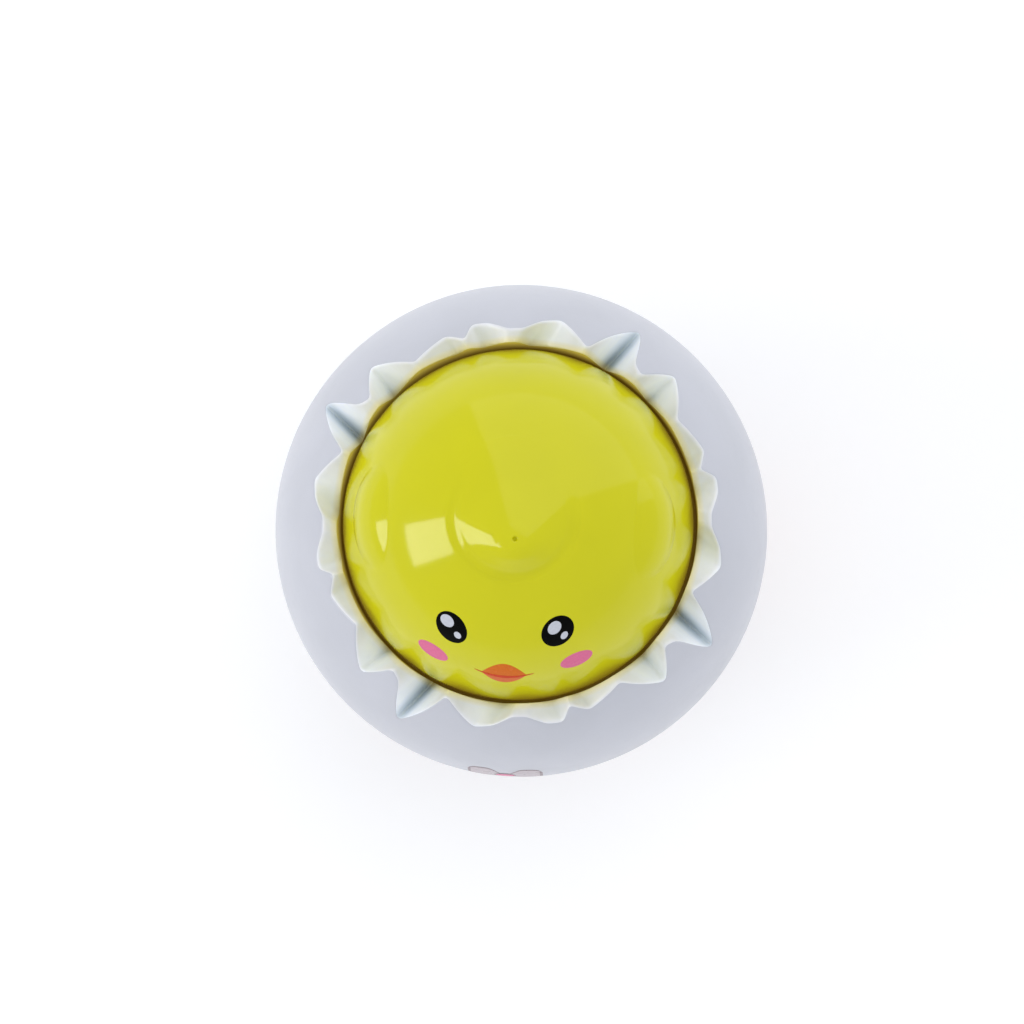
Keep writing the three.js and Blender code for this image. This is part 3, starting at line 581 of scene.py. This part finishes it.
def make_head():
    """The ball with its wings and tuft, the straight skirt under it, and the hollow inside."""
    columns, skirt_rows = 368, 8
    turn_down = np.concatenate([np.linspace(90, 15, 150, endpoint=False), np.linspace(15, 0.1, 80)])
    turns = np.linspace(0, 2 * math.pi, columns, endpoint=False)
    down, turn = np.meshgrid(np.radians(turn_down), turns, indexing="ij")
    direction = np.stack([np.sin(down) * np.cos(turn), np.sin(down) * np.sin(turn), np.cos(down)], axis=-1)
    reach = HEAD_R + sum(wing_height(*wing, direction) for wing in WINGS)
    ball = direction * reach[..., None]
    x, y, z = ball[..., 0], ball[..., 1], ball[..., 2] + SKIRT
    from_axis = np.hypot(x, y)
    to_front = -y / np.maximum(from_axis, 0.1)
    fillet = TUFT_FILLET + TUFT_FRONT_FILLET * np.clip(to_front, 0, 1) ** 1.5
    z = np.where(from_axis < TUFT_R + 3, blend_max(z, tuft_height(x, y), fillet), z)
    across_groove = np.clip(1 - ((from_axis - GROOVE["r"]) / GROOVE["half"]) ** 2, 0, 1)
    z = z - GROOVE["deep"] * np.clip(0.75 + to_front, 0, 1) * across_groove
    from_tip = np.hypot(x - TUFT_LEAN[0], y - TUFT_LEAN[1])
    z = z - DIMPLE_DEEP * np.exp(-((from_tip / DIMPLE_R) ** 4))
    ball = np.stack([x, y, z + HEAD_Z], axis=-1)
    around = np.stack([np.cos(turn[0]), np.sin(turn[0]), np.zeros(columns)], axis=-1)
    skirt = [around * (HEAD_R - 0.15) + [0, 0, HEAD_Z]]
    skirt += [around * HEAD_R + [0, 0, HEAD_Z + SKIRT * t] for t in np.linspace(0.04, 0.96, skirt_rows)]
    inner_r = HEAD_R - HEAD_WALL
    inner = direction[::10][::-1] * inner_r + [0, 0, BALL_Z]
    grid = np.concatenate([np.array(skirt), ball, inner, [around * inner_r + [0, 0, HEAD_Z]]])
    verts, faces = loft(grid, wrap_rows=True)
    # The rows that would join the two shells through the top are closed by a small face each instead.
    top = len(skirt) + len(ball) - 1
    faces = faces[:top * columns] + faces[(top + 1) * columns:]
    faces += [tuple(range(top * columns, (top + 1) * columns)),
              tuple(range((top + 1) * columns, (top + 2) * columns))]
    add_piece("chick_head_shell", verts, faces, [YELLOW], "body", "yellow_head",
              replaces=["chick_head"], sharp=60)


# ---- Prints ----
class Surface:
    """An ellipsoid with a print's anchor on it, at an angle from the face's middle and at a height."""

    def __init__(self, radius, high, foot, angle, z):
        self.scale = np.array([radius, radius, high])
        self.centre = np.array([0, 0, foot])
        r = radius * math.sqrt(1 - ((z - foot) / high) ** 2)
        a = math.radians(angle)
        self.anchor = np.array([r * math.sin(a), -r * math.cos(a), z])
        self.normal = self.normal_at(self.anchor)
        self.right = np.cross([0, 0, 1], self.normal)
        self.right /= np.linalg.norm(self.right)
        self.up = np.cross(self.normal, self.right)

    def normal_at(self, point):
        n = (point - self.centre) / self.scale ** 2
        return n / np.linalg.norm(n, axis=-1, keepdims=True)

    def place(self, u, v, lift):
        """Points that lie u to the right of the anchor and v above it, pressed onto the surface."""
        start = self.anchor + np.multiply.outer(u, self.right) + np.multiply.outer(v, self.up)
        p, n = (start - self.centre) / self.scale, self.normal / self.scale
        a, b, c = (n ** 2).sum(), (p * n).sum(-1), (p ** 2).sum(-1) - 1
        along = (-b + np.sqrt(np.maximum(b * b - a * c, 0))) / a
        point = start + along[..., None] * self.normal
        return point + self.normal_at(point) * lift


def head_spot(angle, height):
    return Surface(HEAD_R, HEAD_R, BALL_Z, angle, HEAD_Z + height)


INK_DEPTH = 0.03


def print_sheet(name, surface, u, v, material, layer, slot):
    """A grid of print coordinates becomes a thin closed film of ink on the surface."""
    lift = 0.012 + 0.02 * layer
    top, under = surface.place(u, v, lift), surface.place(u, v, lift - INK_DEPTH)
    rows, columns = u.shape
    verts, faces = loft(top, wrap_columns=False)
    count = len(verts)
    faces = faces + [tuple(count + i for i in reversed(f)) for f in faces]
    border = [(0, j) for j in range(columns)]
    border += [(i, columns - 1) for i in range(1, rows)]
    border += [(rows - 1, j) for j in range(columns - 2, -1, -1)]
    border += [(i, 0) for i in range(rows - 2, 0, -1)]
    ring = [i * columns + j for i, j in border]
    for a, b in zip(ring, ring[1:] + ring[:1]):
        faces.append((a, b, count + b, count + a))
    verts = np.concatenate([verts, under.reshape(-1, 3)])
    add_piece(name, verts, faces, [material], "body", slot, sharp=60)


def print_between(name, surface, u, low, high, material, layer, slot="yellow_head", rows=9):
    """Ink between two curves, given as their heights low and high at each u."""
    t = np.linspace(0, 1, rows)[:, None]
    v = low * (1 - t) + high * t
    print_sheet(name, surface, np.broadcast_to(u, v.shape), v, material, layer, slot)


def print_oval(name, surface, centre, size, lean, material, layer, slot="yellow_head"):
    """An oval of ink: half sizes along its own axes, turned by lean degrees."""
    a = np.linspace(-math.pi / 2, math.pi / 2, 49)
    t = np.linspace(-1, 1, 13)[:, None]
    u0, v0 = size[0] * np.sin(a) * np.ones_like(t), size[1] * np.cos(a) * t
    c, s = math.cos(math.radians(lean)), math.sin(math.radians(lean))
    u, v = centre[0] + c * u0 - s * v0, centre[1] + s * u0 + c * v0
    print_sheet(name, surface, u, v, material, layer, slot)


def make_face():
    left, right = head_spot(-26.7, 22.06), head_spot(24.7, 22.69)
    print_oval("left_eye", left, (0.22, -0.16), (2.2, 2.68), 43, BLACK_INK, 0)
    print_oval("left_eye_glint", left, (-0.72, 0.56), (0.95, 1.06), 61, WHITE_INK, 1)
    print_oval("left_eye_small_glint", left, (1.45, -0.81), (0.5, 0.6), 43, WHITE_INK, 1)
    print_oval("right_eye", right, (0.08, -0.08), (2.23, 2.64), -34, BLACK_INK, 0)
    print_oval("right_eye_glint", right, (-0.16, 0.74), (0.89, 1.14), -40, WHITE_INK, 1)
    print_oval("right_eye_small_glint", right, (0.72, -1.12), (0.48, 0.68), -38, WHITE_INK, 1)
    print_oval("left_cheek", head_spot(-28.3, 16.8), (0, 0), (2.35, 1.55), 0, PINK_INK, 0)
    print_oval("right_cheek", head_spot(27.8, 17.43), (0, 0), (2.35, 1.55), 0, PINK_INK, 0)
    make_beak(head_spot(-0.2, 17.17))


def make_beak(spot):
    half, tip = 3.05, 4.05
    u = np.linspace(-half, half, 61)
    bow = np.maximum(np.cos(u / half * math.pi / 2), 0)
    mouth = -0.97 + 0.6 * (u / half) ** 2
    print_between("upper_beak", spot, u, mouth, mouth + 3.1 * bow ** 0.9, ORANGE_INK, 0)
    print_between("lower_beak", spot, u, mouth - 1.6 * bow ** 0.8, mouth, PEACH_INK, 0)
    u = np.linspace(-tip, tip, 81)
    line = -0.97 + 0.95 * (np.abs(u) / tip) ** 1.9
    half_width = 0.045 + 0.3 * np.maximum(1 - (np.abs(u) / tip) ** 1.3, 0)
    print_between("mouth_line", spot, u, line - half_width, line + half_width * 0.8, RED_INK, 1, rows=4)


def make_bow_tie():
    """A plain printed bow on the front of the egg: two puffed loops that reach up, and a knot."""
    front = Surface(EGG_R, EGG_UP, EGG_Z, 0.7, EGG_Z + 3.6)
    half_wide, loop_high, loop_low, outline = 5.3, 5.2, 0.62, 0.42
    waist, knot, knot_at = 0.9, 1.3, (0, 0.4)
    for side, name in ((-1, "left"), (1, "right")):
        u = np.linspace(knot * 0.3, half_wide, 41)
        t = (u - u[0]) / (u[-1] - u[0])
        puff = np.sin(np.minimum(t / 0.45, 1) * math.pi / 2) * np.sqrt(1 - 0.85 * t ** 8)
        edge = waist + (loop_high - waist) * puff
        print_between(f"bow_{name}_edge", front, side * u, -loop_low * edge, edge,
                      TAUPE_INK, 0, "white_shell")
        inner = np.linspace(u[0], half_wide - outline, 38)
        inside = np.interp(inner, u, edge)
        print_between(f"bow_{name}", front, side * inner, outline - loop_low * inside, inside - outline,
                      BLUSH_INK, 1, "white_shell")
    print_oval("bow_knot_edge", front, knot_at, (knot + 0.25, 1.6), 0, TAUPE_INK, 2, "white_shell")
    print_oval("bow_knot", front, knot_at, (knot, 1.3), 0, PINK_INK, 3, "white_shell")


# ---- Knob, screws and legs ----
def make_knob():
    """The winding knob, with a scalloped rim and a recess for its screw."""
    low, high = box("winding_knob")
    centre = (low + high) / 2
    length, r, ribs = high[0] - low[0], (high[2] - low[2]) / 2, 14
    bore_r, recess_r, recess_deep, boss_r, boss_high = 1.23, 2.3, 1.2, 3, 0.9
    recess_x = length - recess_deep
    corners = [(0, boss_high), (r, boss_high), (r, length), (recess_r, length), (recess_r, recess_x),
               (bore_r, recess_x), (bore_r, 0), (boss_r, 0), (boss_r, boss_high)]
    profile = [p for p in bend_corners(corners, 0.35, 4) if p[0] > 0]
    segments = 280
    angle = np.linspace(0, 2 * math.pi, segments, endpoint=False)[:, None]
    radius, along = np.array(profile).T
    scallop_deep, scallop_r = 0.55, 3.6
    scallop = scallop_deep * (0.5 - 0.5 * np.cos(ribs * angle)) ** 1.6
    shrink = np.clip((radius - scallop_r) / (r - scallop_r), 0, 1)
    rr = radius - scallop * shrink
    grid = np.stack([np.broadcast_to(along, rr.shape) + low[0], centre[1] + rr * np.cos(angle),
                     centre[2] + rr * np.sin(angle)], axis=-1)
    verts, faces = loft(grid, wrap_rows=True)
    add_piece("knob", verts, faces, [ORANGE], "winder", "orange_plastic",
              replaces=["winding_knob"], sharp=50)


def make_screw(node, body, axis, head_r, head_high, shank_r):
    """A slotted pan-head screw. Its head is at the low end along Z, or at the high end along X."""
    low, high = box(node)
    centre = (low + high) / 2
    k = "xyz".index(axis)
    length = high[k] - low[k]
    shape = [(0, 0), (head_r, 0), (head_r, head_high)]
    if shank_r == 0:
        shape += [(0, head_high)]
    else:
        shape += [(shank_r, head_high), (shank_r, length), (0, length)]
    rounded = bend_corners(shape, head_high * 0.55, 5)
    base = np.array([centre[0], centre[1], low[2]])
    if axis == "x":
        rounded = [(r, length - h) for r, h in rounded]
        base = np.array([low[0], centre[1], centre[2]])
    piece = add_piece(f"{node}_body", *turned(rounded, 48, axis, base), [STEEL], body, "steel",
                      replaces=[node])
    across, deep, long = 0.44, 0.4, head_r * 2.2
    size = [long, across, 2 * deep] if axis == "z" else [2 * deep, across, long]
    at = base.copy()
    if axis == "x":
        at[0] = high[0]
    half = (-0.5, 0.5)
    corners = np.array([(i, j, m) for i in half for j in half for m in half]) * size + at
    faces = [(0, 1, 3, 2), (4, 6, 7, 5), (0, 4, 5, 1), (2, 3, 7, 6), (0, 2, 6, 4), (1, 5, 7, 3)]
    combine(piece, [tool(corners, faces)])
    tidy(piece, 30)


def arc(cx, cy, r, start, end, steps=8):
    a = np.radians(np.linspace(start, end, steps))
    return [(cx + r * math.cos(t), cy + r * math.sin(t)) for t in a]


def curve(start, control, end, steps=8):
    t = np.linspace(0, 1, steps)[1:-1, None]
    start, control, end = np.array(start), np.array(control), np.array(end)
    points = (1 - t) ** 2 * start + 2 * t * (1 - t) * control + t * t * end
    return [tuple(p) for p in points]


# The middle of each toe's round end, on the right foot.
TOES = [(4.4, -21), (10, -24.4), (15.4, -20.6)]


def foot_outline():
    """The right foot seen from above: a round heel and three round-ended toes."""
    heel, inner = (4.6, 8), (3, 0)
    first = arc(*TOES[0], 2.9, 170, 345)
    second = arc(*TOES[1], 3, 200, 340)
    third = arc(*TOES[2], 2.9, 205, 375)
    outside, back = (13.6, 6), (9.2, 12.8)
    points = [heel] + curve(heel, inner, first[0], 10) + first
    points += [(7.6, -16.5)] + second + [(12.3, -16.5)] + third
    points += curve(third[-1], (15, -6), outside, 10) + [outside]
    points += curve(outside, (13.4, 12.6), back, 8) + [back]
    return points + curve(back, (5, 12.8), heel, 8)


def rod(start, end, r0, r1, flat=1.0, segments=24):
    """A tapered bar with round ends, squashed to flat times its height."""
    start, end = np.array(start, float), np.array(end, float)
    along = (end - start) / np.linalg.norm(end - start)
    side = np.cross(along, [0, 0, 1])
    side /= np.linalg.norm(side)
    top = np.cross(side, along)
    rings = []
    for centre, r, angles in ((start, r0, np.linspace(-89, 0, 7)), (end, r1, np.linspace(0, 89, 7))):
        for a in np.radians(angles):
            turn = np.linspace(0, 2 * math.pi, segments, endpoint=False)[:, None]
            ring = side * np.cos(turn) + top * np.sin(turn) * flat
            rings.append(centre + along * r * math.sin(a) + ring * r * math.cos(a))
    grid = np.array(rings)
    verts, faces = loft(grid)
    last = (len(grid) - 1) * segments
    return verts, faces + [tuple(range(segments))[::-1], tuple(range(last, last + segments))]


def slab(outline, z0, z1, inset):
    """A flat shape with its upper and lower edges drawn in a little, ready to be rounded."""
    points = np.array(outline)
    ahead, behind = np.roll(points, -1, 0), np.roll(points, 1, 0)
    tangent = ahead - behind
    normal = np.stack([tangent[:, 1], -tangent[:, 0]], axis=1)
    normal /= np.linalg.norm(normal, axis=1, keepdims=True)
    area = (points[:, 0] * ahead[:, 1] - ahead[:, 0] * points[:, 1]).sum()
    normal *= np.sign(area)
    layers = [(z0, inset), (z0 + inset * 0.4, inset * 0.25), (z0 + inset, 0), (z1 - inset, 0),
              (z1 - inset * 0.4, inset * 0.25), (z1, inset)]
    grid = np.array([[(*(p - n * d), z) for p, n in zip(points, normal)] for z, d in layers])
    verts, faces = loft(grid)
    count = len(points)
    last = (len(grid) - 1) * count
    return verts, faces + [tuple(range(count))[::-1], tuple(range(last, last + count))]


def mirrored(shape, side):
    verts, faces = shape
    return np.asarray(verts, float) * [side, 1, 1], faces


def make_leg(side, node):
    """A leg and its foot: overlapping shapes joined, softened as one moulding, then bored."""
    sole_z = box(node)[0][2]
    rocker, crank = middle("rocker_axle"), middle("crank_axle")
    near, far = 7.7, 10.2
    head_r, window_r, boss_r, boss_x = 5.4, 3.4, 3.0, 6.3
    foot_x, foot_high = 9, 2.8
    parts = [slab(foot_outline(), 0, foot_high, 0.8)]
    knuckle = np.array([foot_x, -9.5, 2.3])
    for toe, reach in zip(TOES, (0.98, 0.97, 0.98)):
        end = knuckle + (np.array([*toe, 1.55]) - knuckle) * reach
        parts.append(rod(knuckle, end, 2.4, 2.0, 0.72))
    parts.append(rod((foot_x, -8, 2.1), (foot_x, 9.6, 1.7), 3.3, 2.4, 0.62))
    ankle = bend_corners([(0, 1.5), (4.6, 1.5), (4.3, 3.0), (3.2, 5.2), (0, 5.2)], 1.0, 6)
    parts.append(turned(ankle, 48, "z", (foot_x, rocker[1], 0)))
    arm = [(-9.6, 3), (-4.4, 3), (-4, 13), (-4.2, 21), (-9.8, 21), (-10, 13)]
    verts, faces = slab(arm, near, far, 0.35)
    parts.append((verts[:, [2, 0, 1]], faces))
    for centre, r, x0 in ((crank, head_r, near), (rocker, boss_r, boss_x)):
        ring = bend_corners([(0, x0), (r, x0), (r, far), (0, far)], 0.4, 4)
        parts.append(turned(ring, 64, "x", (0, centre[1], centre[2])))
    leg = add_piece(node + "_moulding", *mirrored(parts[0], side), [ORANGE], None, None)
    combine(leg, [tool(*mirrored(part, side)) for part in parts[1:]], "UNION")
    remesh = leg.modifiers.new("skin", "REMESH")
    remesh.mode = "VOXEL"
    remesh.voxel_size = 0.26 * MM
    smooth = leg.modifiers.new("soften", "SMOOTH")
    smooth.factor, smooth.iterations = 0.5, 5
    bake(leg)
    bore_r, through, wide = 1.08, 20, 60
    cutters = []
    for centre, r, segments in ((crank, window_r, 64), (rocker, bore_r, 32)):
        hole = [(0, 0), (r, 0), (r, through), (0, through)]
        cutters.append(turned(hole, segments, "x", (0, centre[1], centre[2])))
    # A wide disc under the foot leaves its sole flat.
    cutters.append(turned([(0, -5), (wide, -5), (wide, sole_z), (0, sole_z)], 8))
    combine(leg, [tool(*mirrored(c, side)) for c in cutters])
    leg.data.materials.clear()
    leg.data.materials.append(ORANGE.material)
    tidy(leg, 35)
    register(leg, "legs", [node])


def finish_cad_nodes():
    """Every CAD node that still shows gets the procedural material of its slot."""
    slots = {part["node"]: part["material_slot"] for part in frame["record"]["subparts"]}
    for name, node in frame["nodes"].items():
        if node.hide_render:
            continue
        node.data.materials.clear()
        node.data.materials.append(SLOT_MATERIALS[slots[name]].material)
        edges = node.modifiers.new("soft_edges", "BEVEL")
        edges.width = 0.06 * MM
        edges.segments = 2
        edges.limit_method = "ANGLE"
        edges.angle_limit = math.radians(50)


# ---- Stage ----
def make_floor():
    m = Nodes("floor")
    m.link(m.mix(m.noise(60, 3), (0.93, 0.93, 0.94), (0.91, 0.91, 0.925)), "Base Color")
    m.link(m.span(m.noise(8, 3), 0.3, 0.7, 0.85, 0.95), "Roughness")
    m.set(Specular_IOR_Level=0.1, Emission_Strength=0.19)
    m.shader.inputs["Emission Color"].default_value = (1, 1, 1, 1)
    half = 3000.0
    verts = [(-half, -half, 0), (half, -half, 0), (half, half, 0), (-half, half, 0)]
    mesh = bpy.data.meshes.new("floor")
    mesh.from_pydata([tuple(c * MM for c in v) for v in verts], [], [(0, 1, 2, 3)])
    mesh.materials.append(m.material)
    floor = bpy.data.objects.new("floor", mesh)
    bpy.context.scene.collection.objects.link(floor)


def add_panel(name, direction, elevation, distance, size, radiance, colour=(1, 1, 1),
              lights=True, shows=True):
    """A soft panel that faces the toy, with its power set from how bright it should look.

    It can be kept from lighting things, so that it only shows in them, or the other way round.
    """
    e = math.radians(elevation)
    where = level(direction) * math.cos(e) + Vector((0, 0, math.sin(e)))
    light = bpy.data.lights.new(name, "AREA")
    light.shape = "RECTANGLE"
    light.size, light.size_y = size
    light.energy = radiance * math.pi * size[0] * size[1]
    light.color = colour
    obj = bpy.data.objects.new(name, light)
    obj.location = where * distance + Vector((0, 0, EGG_Z * MM))
    obj.rotation_mode = "QUATERNION"
    obj.rotation_quaternion = where.to_track_quat("Z", "Y")
    obj.visible_diffuse, obj.visible_glossy = lights, shows
    bpy.context.scene.collection.objects.link(obj)


def make_light():
    world = bpy.data.worlds.new("studio")
    world.use_nodes = True
    sky = world.node_tree.nodes["Background"]
    sky.inputs["Color"].default_value = (0.97, 0.985, 1.0, 1)
    sky.inputs["Strength"].default_value = 0.8
    bpy.context.scene.world = world
    # The softbox and the window only show as reflections, and the two fills only light.
    add_panel("left_softbox", -164, 30, 1.0, (0.39, 0.57), 6.5, (1, 0.99, 0.96), lights=False)
    add_panel("left_fill", -165, 28, 1.0, (0.6, 0.6), 1.7, (1, 0.99, 0.97), shows=False)
    add_panel("back_window", 70.6, 0, 1.5, (3.06, 7.6), 0.85, lights=False)
    add_panel("back_fill", 60, 42, 1.5, (2.4, 2.5), 0.36, shows=False)
    bpy.context.scene.view_settings.view_transform = "Standard"


make_camera()
make_upper_shell()
make_lower_shell()
make_head()
make_face()
make_bow_tie()
make_knob()
for number in range(1, 5):
    make_screw(f"motor_screw_{number}", "body", "z", head_r=1.7, head_high=0.8, shank_r=0.9)
make_screw("knob_screw", "winder", "x", head_r=2.0, head_high=0.85, shank_r=0)
make_leg(-1, "left_leg")
make_leg(1, "right_leg")
finish_cad_nodes()
make_floor()
make_light()
